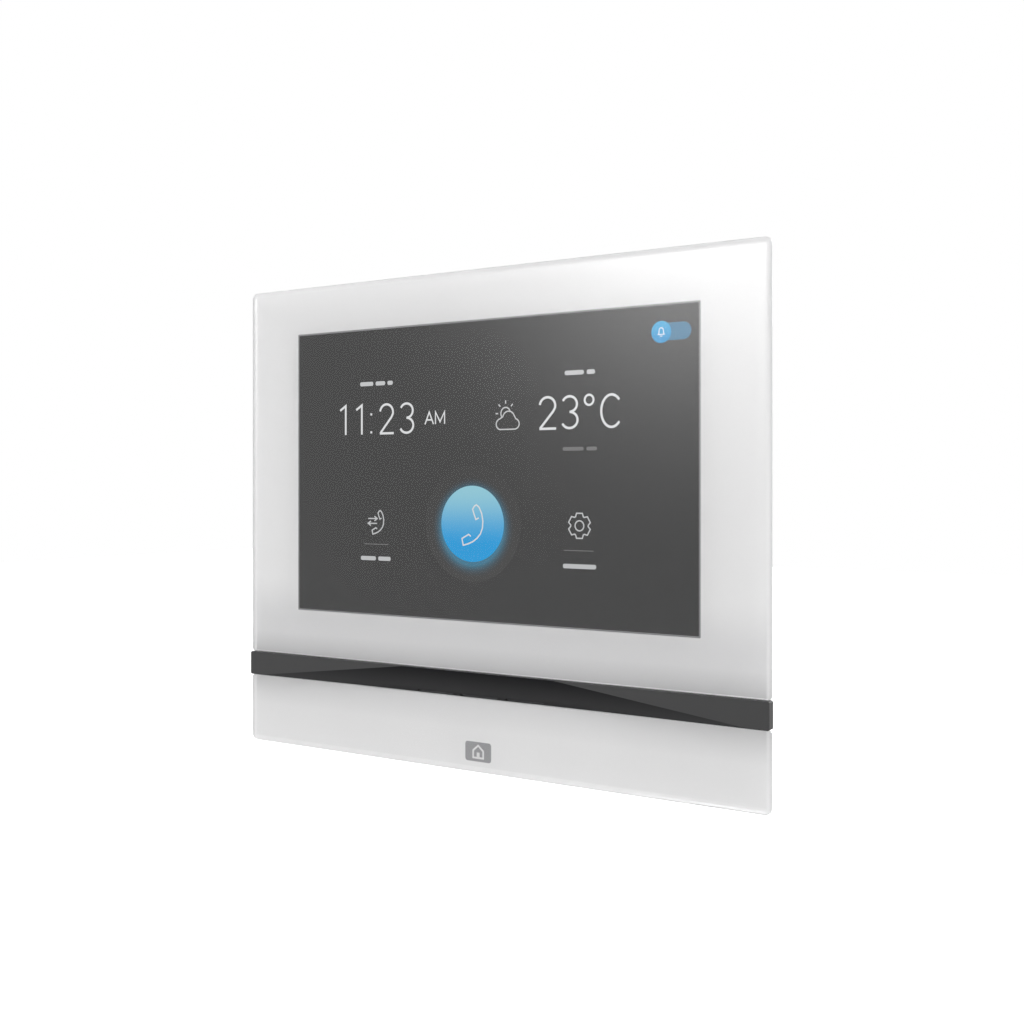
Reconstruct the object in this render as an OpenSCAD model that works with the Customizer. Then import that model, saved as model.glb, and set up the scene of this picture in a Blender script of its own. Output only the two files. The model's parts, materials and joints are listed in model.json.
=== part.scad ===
// Wall-mounted indoor video door-entry monitor: a glass front on a slim housing that hangs on a
// steel wall bracket. +Z is up, the glass front faces -Y, the wall is the plane y = 0, and the
// origin is the centre of the bracket's wall side.

/* [Glass front] */
// Width of the glass front
glass_w = 194; // [190:1:200]
// Height of the upper pane
upper_h = 126.2; // [124:0.1:130]
// Height of the accent band between the panes
band_h = 8; // [7:0.5:9]
// Height of the lower pane
lower_h = 23.3; // [22:0.1:26]
// Thickness of the glass
glass_t = 2; // [1.6:0.1:2.4]
// Radius of the outer corners of the glass
corner_r = 2.2; // [1:0.1:3]
// Distance from the edge of the glass to the white print
print_inset = 0.4; // [0.3:0.05:0.8]

/* [Display] */
// Width of the lit area of the display
screen_w = 150.8; // [148:0.1:152]
// Height of the lit area of the display
screen_h = 94.2; // [92:0.1:96]
// Height of the display's centre above the centre of the glass front
screen_z = 15.65; // [14:0.05:17]

/* [Housing] */
// Distance from the wall to the front of the glass
depth = 27; // [27:0.5:30]
// Width of the front frame
frame_w = 184; // [184:0.5:186]
// Height of the front frame
frame_h = 147.5; // [147:0.5:149]
// Width of the rear housing
rear_w = 168; // [167:0.5:169]
// Height of the rear housing
rear_h = 138.5; // [138:0.5:140]
// Wall thickness of the mouldings
wall = 2; // [1.8:0.1:2.2]

/* [Wall bracket] */
// Width of the bracket plate
bracket_w = 150; // [148:1:152]
// Height of the bracket plate
bracket_h = 110; // [108:1:112]
// Thickness of the bracket steel
steel_t = 1.2; // [1:0.1:1.4]
// Spacing of the wall-box screw slots
slot_spacing = 60; // [58:1:62]
// Length of a wall-box screw slot
slot_len = 8.4; // [7:0.2:10]
// Radius of the wall screw holes
hole_r = 2.2; // [2:0.1:2.5]
// Sideways spacing of the corner wall holes
hole_dx = 112; // [108:1:114]
// Vertical spacing of the corner wall holes
hole_dz = 88; // [84:1:92]

/* [Connectors] */
// Pitch of the terminal block
pitch = 5; // [5:0.01:5.08]
// Number of terminals
poles = 4; // [3:1:4]

/* [Hidden] */
$fn = 48;
eps = 0.01;

// Heights
glass_h = upper_h + band_h + lower_h;
top_z = glass_h / 2;
band_top = top_z - upper_h;
band_low = band_top - band_h;
seam = 0.1;
lcd_z = screen_z;

// Depth stack, from the glass front towards the wall
front_y = -depth;
glass_back = front_y + glass_t;
print_back = glass_back + 0.15;
tape_back = print_back + 0.5;
sensor_back = print_back + 0.7;
panel_back = sensor_back + 1.1;
light_back = panel_back + 2.4;
plate_back = tape_back + wall;
split_y = -17;
flange_back = split_y + 1.6;
board_front = -19.2;
board_back = -17.6;
shell_inner = -6;
shell_back = -4;
rim_back = -0.5;

// Plan sizes
lcd_w = 163;
lcd_h = 104;
lcd_open_w = 164;
lcd_open_h = 105;
sensor_w = 158;
sensor_h = 101;
board_w = 132;
board_top = 60;
board_low = -33;
bay_x = 30;
bay_low = -35;
bay_top = 2;
bay_floor = -15.2;
bay_wall = 1.4;
bay_skin = 1.2;

// Fixings
case_screw_x = 88;
case_screw_z = [-52, 0, 52];
clamp_x = 85.5;
clamp_z = [-14, 40];
post_x = 50;
post_z = [-28, 55];
hook_x = 66;
hook_z = [-24, 30];
hook_w = 8;
hook_lip = 6;

// Rubber bumpers on the back
bumper_x = 44;
bumper_z = [-46, 48];
bumper_back = -1.5;

// Speaker
spk_z = -51;
spk_r = 14;
spk_front = -19.9;
spk_lug_x = 19;

// Sockets
jack_x = -16;
jack_half = 7.9;
jack_l = 18;
jack_skin = 0.3;
jack_back = -6.2;
port_half = 5.9;
port_y = [-14.7, -7.9];
port_l = 14;
term_x = 14;
term_back = -7.2;
term_w = pitch * poles + 2;
term_l = 12;
reset_x = 46;
reset_z = 8;
mic_x = -60;
mic_y = -19.65;

// ---- helpers -------------------------------------------------------------------------------

// Extrudes an x-z outline from y0 to y1
module slab(y0, y1) {
    translate([0, y1, 0]) rotate([90, 0, 0]) linear_extrude(y1 - y0) children();
}

// A box given by its two corners
module block(low, high) {
    translate(low) cube(high - low);
}

// A rounded rectangle about the origin
module rrect(w, h, r) {
    square([w - 2 * r, h], center = true);
    square([w, h - 2 * r], center = true);
    for (x = [-1, 1], z = [-1, 1])
        translate([x * (w / 2 - r), z * (h / 2 - r)]) circle(r);
}

// A round disc or rod along Y
module rod_y(r, y0, y1) {
    translate([0, y1, 0]) rotate([90, 0, 0]) cylinder(r = r, h = y1 - y0);
}

// A ring along Y
module ring_y(ro, ri, y0, y1) {
    difference() {
        rod_y(ro, y0, y1);
        rod_y(ri, y0 - 1, y1 + 1);
    }
}

// A solid turned about a Y axis from a radius-depth outline
module turned_y() {
    rotate([-90, 0, 0]) rotate_extrude() children();
}

// Copies at each x and z
module at(xs, zs, y = 0) {
    for (x = xs, z = zs) translate([x, y, z]) children();
}

// A round wire through a list of points
module wire(points, r) {
    for (i = [0:len(points) - 2]) {
        step = points[i + 1] - points[i];
        run = norm(step);
        turn = acos(step[2] / run);
        translate(points[i]) rotate([0, turn, atan2(step[1], step[0])])
            cylinder(r = r, h = run, $fn = 24);
    }
    for (i = [1:len(points) - 2]) translate(points[i]) sphere(r = r * 1.06, $fn = 24);
}

// ---- glass front ---------------------------------------------------------------------------

// Width and depth of the rounding on the front edges, and its share on the edges next to the band
edge_front = [1.7, 1.35];
edge_back = glass_t - edge_front[1];
seam_share = 0.25;

// Outline of a pane, drawn in at the sides, bottom and top: r_top and r_low are its corner radii
module pane_outline(z0, z1, r_top, r_low, side_in, low_in, top_in) {
    w = glass_w / 2 - side_in;
    rt = max(0.3, r_top - side_in);
    rl = max(0.3, r_low - side_in);
    hull() for (x = [-1, 1]) {
        translate([x * (w - rt), z1 - top_in - rt]) circle(rt, $fn = 32);
        translate([x * (w - rl), z0 + low_in + rl]) circle(rl, $fn = 32);
    }
}

// A pane with rounded edges: each share scales the rounding of its bottom or top edge
module pane(z0, z1, r_top, r_low, low_share, top_share) {
    front = [for (a = [0:15:90]) [1 - sin(a), 1 - cos(a)]];
    back = [for (a = [30:30:90]) [1 - cos(a), 1 - sin(a)]];
    hull() {
        for (p = front) {
            inset = edge_front[0] * p[0];
            y = front_y + edge_front[1] * p[1];
            slab(y, y + eps)
                pane_outline(z0, z1, r_top, r_low, inset, inset * low_share, inset * top_share);
        }
        for (p = back) {
            inset = edge_back * p[0];
            y = glass_back - edge_back * p[1];
            slab(y - eps, y)
                pane_outline(z0, z1, r_top, r_low, inset, inset * low_share, inset * top_share);
        }
    }
}

module upper_glass() {
    color([0.90, 0.93, 0.92, 0.5]) pane(band_top + seam, top_z, corner_r, 1.1, seam_share, 1);
}

module lower_glass() {
    color([0.90, 0.93, 0.92, 0.5]) pane(-top_z, band_low - seam, 1.1, corner_r, 1, seam_share);
}

// The white print reaches from z0 to z1
module print_shape(z0, z1) {
    translate([0, (z0 + z1) / 2]) rrect(glass_w - 2 * print_inset, z1 - z0, 0.9);
}

module upper_print() {
    color([0.94, 0.94, 0.94]) slab(glass_back, print_back) difference() {
        print_shape(band_top + 2 * seam, top_z - print_inset);
        translate([0, screen_z]) square([screen_w, screen_h], center = true);
    }
}

module lower_print() {
    color([0.94, 0.94, 0.94]) slab(glass_back, print_back)
        print_shape(-top_z + print_inset, band_low - 2 * seam);
}

module upper_adhesive() {
    z0 = band_top + 1.2;
    z1 = frame_h / 2 - 1;
    color([0.15, 0.15, 0.15]) slab(print_back, tape_back) difference() {
        translate([0, (z0 + z1) / 2]) rrect(frame_w - 2, z1 - z0, 2);
        translate([0, lcd_z]) square([lcd_open_w + 1, lcd_open_h + 1], center = true);
    }
}

module lower_adhesive() {
    z0 = -frame_h / 2 + 1;
    z1 = band_low - 1.2;
    color([0.15, 0.15, 0.15]) slab(print_back, tape_back)
        translate([0, (z0 + z1) / 2]) rrect(frame_w - 2, z1 - z0, 2);
}

// ---- accent band ---------------------------------------------------------------------------

band_w = glass_w - 0.4;
band_proud = 0.3;
scoop_top_x = 28;
scoop_low_x = 91.5;
scoop_d = 1.9;
slot_x = 24;
lip_h = 0.5;
duct_half = 11;
duct_z = [band_low + 0.5, band_low + 5.5];
duct_d = 0.6;

// The faceted scoop: a floor that deepens downwards and a long triangle on each side
module scoop() {
    y = front_y - band_proud;
    out = y - 1;
    hull() for (side = [-1, 1]) {
        for (p = [
            [side * scoop_top_x, y, band_top],
            [side * scoop_low_x, y, band_low],
            [side * scoop_top_x, y + scoop_d, band_low],
            [side * scoop_top_x, out, band_top],
            [side * scoop_low_x, out, band_low],
            [side * scoop_top_x, y + scoop_d, band_low - 1],
            [side * scoop_low_x, out, band_low - 1],
            [side * scoop_low_x, y, band_low - 1]
        ]) translate(p) cube(eps, center = true);
    }
}

module accent_band() {
    color([0.20, 0.20, 0.21]) difference() {
        slab(front_y - band_proud, tape_back)
            translate([0, (band_top + band_low) / 2]) rrect(band_w, band_h, 0.6);
        scoop();
        // three sound slots in the lower edge
        for (x = [-17, 0, 17])
            block([x - 7, front_y - 1, band_low - 1], [x + 7, tape_back + 1, band_low + lip_h]);
        // rear recess that gathers the slots over the frame's sound opening
        block([-slot_x, tape_back - duct_d, band_low + 0.3], [slot_x, tape_back + 1, duct_z[1]]);
    }
}

module acoustic_mesh() {
    color([0.10, 0.10, 0.10]) block([-duct_half - 0.2, plate_back, duct_z[0] - 0.2],
        [duct_half + 0.2, plate_back + 0.3, duct_z[1] + 0.2]);
}

// ---- display -------------------------------------------------------------------------------

module optical_bond() {
    color([0.80, 0.85, 0.90, 0.4]) slab(glass_back, print_back)
        translate([0, screen_z]) square([screen_w, screen_h], center = true);
}

module touch_sensor() {
    color([0.35, 0.40, 0.42]) slab(print_back, sensor_back)
        translate([0, lcd_z]) square([sensor_w, sensor_h], center = true);
}

module display_panel() {
    color([0.12, 0.12, 0.13]) slab(sensor_back, panel_back)
        translate([0, lcd_z]) square([lcd_w - 3, lcd_h - 3], center = true);
}

// Pressed tray behind the panel, with a shallow embossed back
module display_backlight() {
    color([0.70, 0.71, 0.72]) difference() {
        slab(panel_back, light_back) translate([0, lcd_z]) rrect(lcd_w, lcd_h, 1);
        for (x = [-1, 1])
            slab(light_back - 0.4, light_back + 1)
                translate([x * 38, lcd_z]) rrect(66, 80, 4);
    }
}

module display_clamps() {
    color([0.66, 0.67, 0.68]) for (side = [-1, 1], z = clamp_z) difference() {
        slab(light_back, light_back + 0.8) translate([side * 83, z]) rrect(10, 8, 1);
        translate([side * clamp_x, 0, z]) rod_y(1.3, light_back - 1, light_back + 2);
    }
}

// A pan-head screw along Y with a cross recess: the head's seat is at y, its shank points to -Y
module pan_screw(r, head_r, len, head_h) {
    difference() {
        union() {
            rod_y(r, -len, 0);
            rod_y(head_r, 0, head_h);
        }
        for (a = [0, 90]) rotate([0, a, 0])
            block([-head_r * 0.55, head_h * 0.45, -0.25], [head_r * 0.55, head_h + 1, 0.25]);
    }
}

module clamp_screws() {
    color([0.55, 0.56, 0.57])
        at([-clamp_x, clamp_x], clamp_z, light_back + 0.8) pan_screw(1.1, 2.1, 2.9, 1.1);
}

// ---- front frame ---------------------------------------------------------------------------

module front_frame() {
    inner_w = frame_w - 2 * wall;
    inner_h = frame_h - 2 * wall;
    collar_r = spk_r - 0.4;
    color([0.25, 0.25, 0.26]) difference() {
        union() {
            difference() {
                slab(tape_back, split_y) rrect(frame_w, frame_h, 4);
                slab(plate_back, split_y + 1) rrect(inner_w, inner_h, 2);
                slab(tape_back - 1, plate_back + 1)
                    translate([0, lcd_z]) square([lcd_open_w, lcd_open_h], center = true);
            }
            // bosses for the housing screws and the display clamps
            at([-case_screw_x, case_screw_x], case_screw_z) rod_y(2.8, plate_back - eps, split_y);
            at([-clamp_x, clamp_x], clamp_z) rod_y(2.4, plate_back - eps, light_back);
            // collar that leads the sound from the band to the speaker
            translate([0, 0, spk_z]) ring_y(collar_r, collar_r - 1.2, plate_back - eps, spk_front - 0.6);
            // bosses for the speaker screws
            at([-spk_lug_x, spk_lug_x], [spk_z]) rod_y(2.2, plate_back - eps, spk_front);
        }
        // sound opening behind the band
        block([-duct_half, tape_back - 1, duct_z[0]], [duct_half, plate_back + 1, duct_z[1]]);
        at([-case_screw_x, case_screw_x], case_screw_z) rod_y(1.25, plate_back + 0.4, split_y + 1);
        at([-clamp_x, clamp_x], clamp_z) rod_y(1.1, plate_back - 0.4, light_back + 1);
        at([-spk_lug_x, spk_lug_x], [spk_z]) rod_y(1, plate_back, spk_front + 1);
        // pinhole for the microphone in the bottom edge
        translate([mic_x, mic_y, -frame_h / 2 - 1]) cylinder(r = 0.6, h = wall + 2);
    }
}

// ---- rear housing --------------------------------------------------------------------------

hook_slot_w = hook_w + 2;
hook_slot_low = 8.5;

module bay_void() {
    block([-bay_x, bay_floor, bay_low], [bay_x, shell_back + 1, bay_top]);
}

module rear_housing() {
    inner_w = rear_w - 2 * wall;
    inner_h = rear_h - 2 * wall;
    color([0.25, 0.25, 0.26]) difference() {
        union() {
            // flange that closes the front frame
            slab(split_y, flange_back) difference() {
                rrect(frame_w, frame_h, 4);
                rrect(inner_w, inner_h, 4);
            }
            // side wall, from the flange to the rim
            slab(split_y, rim_back) difference() {
                rrect(rear_w, rear_h, 6);
                rrect(inner_w, inner_h, 4);
            }
            // back panel
            slab(shell_inner, shell_back) rrect(inner_w + 1, inner_h + 1, 4);
            // cable bay
            block([-bay_x - bay_wall, bay_floor - bay_skin, bay_low - bay_wall],
                [bay_x + bay_wall, shell_inner + eps, bay_top + bay_wall]);
            // posts for the main board
            at([-post_x, post_x], post_z) rod_y(2.8, board_back, shell_inner + eps);
        }
        bay_void();
        // mouths of the two sockets in the bay's top wall
        block([jack_x - 8.4, -17, bay_top - 1], [jack_x + 8.4, jack_back + 0.1, bay_top + 3]);
        block([term_x - term_w / 2, -17, bay_top - 1],
            [term_x + term_w / 2, term_back, bay_top + 3]);
        // pilot holes for the board screws
        at([-post_x, post_x], post_z) rod_y(1, board_back - 1, -11);
        // clearance holes for the housing screws
        at([-case_screw_x, case_screw_x], case_screw_z) rod_y(1.45, split_y - 1, flange_back + 1);
        // slots for the bracket's hooks
        for (x = [-hook_x, hook_x], z = hook_z)
            block([x - hook_slot_w / 2, shell_inner - 1, z - hook_slot_low],
                [x + hook_slot_w / 2, shell_back + 1, z + steel_t + 0.3]);
        // hole for the reset cap
        translate([reset_x, 0, reset_z]) rod_y(2.8, shell_inner - 1, shell_back + 1);
        // cooling slots in the top and bottom walls
        for (x = [-60:12:60], z = [-1, 1])
            translate([x, -10.5, z * (rear_h - wall) / 2])
                linear_extrude(wall + 2, center = true) rrect(8, 2, 0.9);
    }
}

module housing_screws() {
    color([0.55, 0.56, 0.57])
        at([-case_screw_x, case_screw_x], case_screw_z, flange_back) pan_screw(1.25, 2.3, 6, 1.4);
}

module rubber_bumpers() {
    color([0.08, 0.08, 0.08]) at([-bumper_x, bumper_x], bumper_z) rod_y(4, shell_back, bumper_back);
}

module rating_label() {
    color([0.85, 0.85, 0.84]) slab(shell_back, shell_back + 0.15)
        translate([0, 30]) rrect(52, 28, 1.5);
}

// ---- wall bracket --------------------------------------------------------------------------

open_x = 22;
open_z = [-37, -5];
open_mid = (open_z[0] + open_z[1]) / 2;

// A hook bent out of the plate: a neck towards the unit and a lip that points up
module hook() {
    neck_front = shell_inner - 1 - steel_t;
    block([-hook_w / 2, neck_front, 0], [hook_w / 2, -steel_t + eps, steel_t]);
    block([-hook_w / 2, neck_front, 0], [hook_w / 2, neck_front + steel_t, steel_t + hook_lip]);
}

module wall_bracket() {
    color([0.72, 0.73, 0.74]) {
        difference() {
            slab(-steel_t, 0) rrect(bracket_w, bracket_h, 6);
            // cable opening
            slab(-steel_t - 1, 1) translate([0, open_mid])
                rrect(2 * open_x, open_z[1] - open_z[0], 3);
            // wall-box screw slots
            for (x = [-1, 1]) slab(-steel_t - 1, 1) translate([x * slot_spacing / 2, open_mid]) {
                square([slot_len - 2 * hole_r, 2 * hole_r], center = true);
                for (e = [-1, 1]) translate([e * (slot_len / 2 - hole_r), 0]) circle(hole_r);
            }
            // corner wall holes
            at([-hole_dx / 2, hole_dx / 2], [-hole_dz / 2, hole_dz / 2]) rod_y(hole_r, -steel_t - 1, 1);
            // windows left by the bent hooks
            for (x = [-hook_x, hook_x], z = hook_z)
                block([x - hook_w / 2 - 0.4, -steel_t - 1, z - 12], [x + hook_w / 2 + 0.4, 1, z]);
        }
        at([-hook_x, hook_x], hook_z) hook();
    }
}

// ---- electronics ---------------------------------------------------------------------------

module main_board() {
    color([0.05, 0.28, 0.16]) difference() {
        slab(board_front, board_back)
            translate([0, (board_top + board_low) / 2]) rrect(board_w, board_top - board_low, 3);
        at([-post_x, post_x], post_z) rod_y(1.3, board_front - 1, board_back + 1);
        header_pins();
    }
}

module board_screws() {
    color([0.55, 0.56, 0.57]) at([-post_x, post_x], post_z, board_front) mirror([0, 1, 0])
        pan_screw(1, 2, 5.5, 0.9);
}

can_at = [-24, 44];
can_w = 36;
can_h = 26;
can_t = 0.3;
can_back = board_back + 2.6;
pad_back = can_back + 1.5;

module processor_shield() {
    color([0.75, 0.76, 0.77]) difference() {
        slab(board_back, can_back) translate(can_at) rrect(can_w, can_h, 1);
        slab(board_back - 1, can_back - can_t) translate(can_at)
            rrect(can_w - 2 * can_t, can_h - 2 * can_t, 0.8);
    }
}

module processor() {
    color([0.08, 0.08, 0.09]) slab(board_back, board_back + 1.6) translate(can_at) rrect(15, 15, 0.5);
}

module thermal_pad() {
    color([0.55, 0.62, 0.72]) slab(can_back, pad_back) translate(can_at) rrect(26, 20, 1);
}

module heat_spreader() {
    color([0.80, 0.81, 0.82]) slab(pad_back, pad_back + 1)
        translate([can_at[0] + 2, can_at[1]]) rrect(can_w + 12, can_h + 2, 2);
}

module memory_chips() {
    color([0.08, 0.08, 0.09]) {
        block([6, board_back, 36], [18, board_back + 1.1, 50]);
        block([22, board_back, 36], [34, board_back + 1.1, 50]);
        block([-58, board_back, 6], [-50, board_back + 0.9, 14]);
    }
}

module network_socket() {
    y0 = board_back;
    z0 = bay_top;
    color([0.10, 0.10, 0.11]) difference() {
        block([jack_x - jack_half, y0, z0], [jack_x + jack_half, jack_back - jack_skin, z0 + jack_l]);
        // port
        block([jack_x - port_half, port_y[0], z0 - 1], [jack_x + port_half, port_y[1], z0 + port_l]);
        // latch notch
        block([jack_x - 3.1, port_y[1] - 0.1, z0 - 1], [jack_x + 3.1, port_y[1] + 0.8, z0 + 10]);
    }
}

module socket_shield() {
    t = jack_skin;
    z0 = bay_top;
    z1 = z0 + jack_l;
    color([0.78, 0.79, 0.80]) difference() {
        block([jack_x - jack_half - t, board_back, z0], [jack_x + jack_half + t, jack_back, z1 + t]);
        block([jack_x - jack_half, board_back - 1, z0 - 1], [jack_x + jack_half, jack_back - t, z1]);
    }
}

module network_contacts() {
    contact = 0.35;
    contact_pitch = 1.02;
    y = port_y[0] + 1.1;
    color([0.85, 0.68, 0.30]) for (i = [0:7])
        translate([jack_x + (i - 3.5) * contact_pitch, 0, 0])
            block([-contact / 2, y, bay_top + 5], [contact / 2, y + contact, bay_top + port_l]);
}

module network_transformer() {
    color([0.08, 0.08, 0.09]) block([jack_x - 8, board_back, 22], [jack_x + 8, board_back + 5, 29.5]);
}

module power_transformer() {
    color([0.12, 0.12, 0.12]) {
        block([38, board_back, 33], [52, board_back + 1.6, 47]);
        block([39, board_back + 1.6 - eps, 34], [51, board_back + 7.6, 46]);
    }
}

module power_inductors() {
    color([0.20, 0.20, 0.21]) for (x = [30, 43]) {
        difference() {
            slab(board_back, board_back + 4.2) translate([x, 24]) rrect(10, 10, 1.5);
            translate([x, 0, 24]) rod_y(3.4, board_back + 3.8, board_back + 5);
        }
    }
}

module capacitors() {
    color([0.18, 0.22, 0.32]) for (z = [-10, -1]) translate([38, 0, z]) {
        difference() {
            rod_y(3.6, board_back, board_back + 8.4);
            rod_y(2.8, board_back + 8.2, board_back + 9);
        }
    }
}

// Terminal header with an open shroud towards -Z
term_cav = [term_w - 1.6, 7.2, 9];
term_cav_y = -15.2;

module header_pins() {
    color([0.82, 0.78, 0.62]) for (i = [0:poles - 1]) {
        x = term_x + (i - (poles - 1) / 2) * pitch;
        y = term_cav_y + term_cav[1] / 2;
        block([x - 0.5, y - 0.5, bay_top + 3], [x + 0.5, y + 0.5, bay_top + term_l + 1]);
        block([x - 0.5, board_front - 0.6, bay_top + term_l], [x + 0.5, y + 0.5, bay_top + term_l + 1]);
    }
}

module terminal_header() {
    z0 = bay_top;
    color([0.12, 0.42, 0.25]) difference() {
        block([term_x - term_w / 2, board_back, z0], [term_x + term_w / 2, term_back, z0 + term_l]);
        block([term_x - term_cav[0] / 2, term_cav_y, z0 - 1],
            [term_x + term_cav[0] / 2, term_cav_y + term_cav[1], z0 + term_cav[2]]);
        header_pins();
    }
}

// Pluggable half: wires enter from below, screws face the back
plug_gap = 0.3;
plug_y = [term_cav_y + plug_gap, term_cav_y + term_cav[1] - plug_gap];
plug_z = [bay_top - 10, bay_top + term_cav[2] - plug_gap];

module terminal_plug() {
    w = term_cav[0] - 2 * plug_gap;
    color([0.12, 0.42, 0.25]) difference() {
        union() {
            block([term_x - w / 2, plug_y[0], plug_z[0]], [term_x + w / 2, plug_y[1], plug_z[1]]);
            block([term_x - w / 2, plug_y[0], plug_z[0]],
                [term_x + w / 2, plug_y[1] + 1.4, bay_top - plug_gap]);
        }
        for (i = [0:poles - 1]) {
            x = term_x + (i - (poles - 1) / 2) * pitch;
            y = (term_cav_y + term_cav[1] / 2);
            // pin socket and wire entry
            block([x - 0.9, y - 0.9, bay_top + 1], [x + 0.9, y + 0.9, plug_z[1] + 1]);
            translate([x, y, plug_z[0] - 1]) cylinder(r = 1.4, h = 8);
            // screw well
            translate([x, 0, bay_top - 5]) rod_y(1.7, y + 2, plug_y[1] + 3);
        }
    }
}

module plug_screws() {
    color([0.75, 0.75, 0.74]) for (i = [0:poles - 1]) {
        x = term_x + (i - (poles - 1) / 2) * pitch;
        y = term_cav_y + term_cav[1] / 2 + 2;
        translate([x, y, bay_top - 5]) difference() {
            rod_y(1.6, 0, 1.6);
            block([-1.2, 1.1, -0.25], [1.2, 2, 0.25]);
        }
    }
}

// Thin flat cable in the y-z plane, given by its corner points and its width along x
module flat_cable(x, w, points, t) {
    for (i = [0:len(points) - 2]) {
        a = points[i];
        b = points[i + 1];
        block([x - w / 2, min(a[0], b[0]) - t / 2, min(a[1], b[1]) - t / 2],
            [x + w / 2, max(a[0], b[0]) + t / 2, max(a[1], b[1]) + t / 2]);
    }
}

flex_y = board_back + 0.8;
flex_z = -30.5;
display_flex_x = -39;
display_flex_w = 12;
touch_flex_x = 40;
touch_flex_w = 8;

module display_flex() {
    z = lcd_z - lcd_h / 2;
    y = light_back - 1.45;
    color([0.78, 0.48, 0.16]) flat_cable(display_flex_x, display_flex_w,
        [[y, z - 0.1], [y, z - 1.6], [flex_y, z - 1.6], [flex_y, flex_z]], 0.2);
}

module touch_flex() {
    z = lcd_z - sensor_h / 2;
    y = print_back + 0.35;
    color([0.78, 0.48, 0.16]) flat_cable(touch_flex_x, touch_flex_w,
        [[y, z - 0.1], [y, z - 1.75], [flex_y, z - 1.75], [flex_y, flex_z]], 0.15);
}

// Board connector with a slit for a flat cable of width w
module flex_connector(x, w) {
    out = w / 2 + 1;
    slit = w / 2 + 0.1;
    difference() {
        block([x - out, board_back, flex_z - 1], [x + out, board_back + 1.6, flex_z + 3]);
        block([x - slit, flex_y - 0.12, flex_z - 2], [x + slit, flex_y + 0.12, flex_z + 0.2]);
    }
}

module flex_connectors() {
    color([0.88, 0.86, 0.80]) {
        flex_connector(display_flex_x, display_flex_w);
        flex_connector(touch_flex_x, touch_flex_w);
    }
}

// Reset switch on the board, with a long plunger and a cap in the back panel
switch_back = board_back + 3.5;
plunger_r = 1.6;

module reset_switch() {
    color([0.10, 0.10, 0.11]) translate([reset_x, 0, reset_z]) difference() {
        slab(board_back, switch_back) rrect(6, 6, 0.6);
        rod_y(plunger_r + 0.06, board_back + 1.6, switch_back + 1);
    }
}

module reset_plunger() {
    color([0.85, 0.85, 0.84]) translate([reset_x, 0, reset_z]) rod_y(plunger_r, board_back + 2.2, -8.5);
}

module reset_cap() {
    color([0.35, 0.35, 0.36]) translate([reset_x, 0, reset_z]) difference() {
        rod_y(2.5, -10, -4.4);
        rod_y(plunger_r, -11, -8.5);
    }
}

// ---- sound ---------------------------------------------------------------------------------

coil_r = 4;
magnet_plate = -14.4;
magnet_front = -13.4;
magnet_back = -11;

module speaker_basket() {
    color([0.14, 0.14, 0.15]) {
        translate([0, 0, spk_z]) turned_y() polygon([
            [12.6, spk_front], [spk_r, spk_front], [spk_r, spk_front + 0.9], [13.2, spk_front + 1.2],
            [9.6, -15.2], [9.6, magnet_plate], [8.2, magnet_plate], [8.2, -15.4], [12.6, spk_front + 1.1]
        ]);
        for (side = [-1, 1]) translate([0, 0, spk_z]) difference() {
            slab(spk_front, spk_front + 0.9) translate([side * 17, 0]) rrect(9, 6, 1.5);
            rod_y(13.5, spk_front - 1, spk_front + 2);
            translate([side * spk_lug_x, 0, 0]) rod_y(1.2, spk_front - 1, spk_front + 2);
        }
    }
}

module speaker_top_plate() {
    color([0.60, 0.61, 0.62]) translate([0, 0, spk_z]) ring_y(9.4, coil_r + 0.7, magnet_plate, magnet_front);
}

module speaker_magnet() {
    color([0.22, 0.22, 0.23]) translate([0, 0, spk_z]) ring_y(8.8, 5.6, magnet_front, magnet_back);
}

module speaker_pole() {
    color([0.60, 0.61, 0.62]) translate([0, 0, spk_z]) {
        rod_y(9, magnet_back, magnet_back + 1.1);
        rod_y(coil_r - 0.6, magnet_plate, magnet_back + eps);
    }
}

// Cone with a domed dust cap, thin and open to the front
module speaker_cone() {
    t = 0.35;
    color([0.16, 0.16, 0.17]) translate([0, 0, spk_z]) turned_y() polygon([
        [0, -16.9], [2.4, -16.7], [coil_r, -16.2], [10.4, spk_front + 1.1], [10.4, spk_front + 1.1 + t],
        [coil_r + 0.3, -15.7], [coil_r - 0.3, -15.7], [2.4, -16.3], [0, -16.5]
    ]);
}

module voice_coil() {
    color([0.70, 0.42, 0.20]) translate([0, 0, spk_z]) ring_y(coil_r + 0.3, coil_r - 0.25, -15.7, -12.2);
}

module speaker_surround() {
    y = spk_front + 1.1;
    color([0.10, 0.10, 0.10]) translate([0, 0, spk_z]) turned_y() difference() {
        translate([11.6, y]) circle(1, $fn = 32);
        translate([11.6, y]) circle(0.7, $fn = 32);
        translate([9, y]) square([6, 3]);
    }
}

module speaker_gasket() {
    color([0.07, 0.07, 0.07]) translate([0, 0, spk_z]) ring_y(spk_r - 0.4, 12.6, spk_front - 0.6, spk_front);
}

module speaker_screws() {
    color([0.55, 0.56, 0.57]) at([-spk_lug_x, spk_lug_x], [spk_z], spk_front + 0.9) pan_screw(1, 1.9, 2.9, 1);
}

module speaker_leads() {
    r = 0.45;
    y = board_front - r - eps;
    for (x = [0, 1.4]) color(x == 0 ? [0.65, 0.10, 0.10] : [0.10, 0.10, 0.10]) wire([
        [15 + x, spk_front + 0.9, -49.6], [15 + x, -17.8, -49.6], [15.6 + x, -17.8, -41],
        [15.6 + x, y, -36.4], [15.6 + x, y, -31]
    ], r);
}

module microphone() {
    color([0.70, 0.70, 0.71]) translate([mic_x, mic_y, -frame_h / 2 + wall + 1]) difference() {
        cylinder(r = 2, h = 2.4);
        translate([0, 0, -1]) cylinder(r = 0.5, h = 1.3);
    }
}

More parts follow.
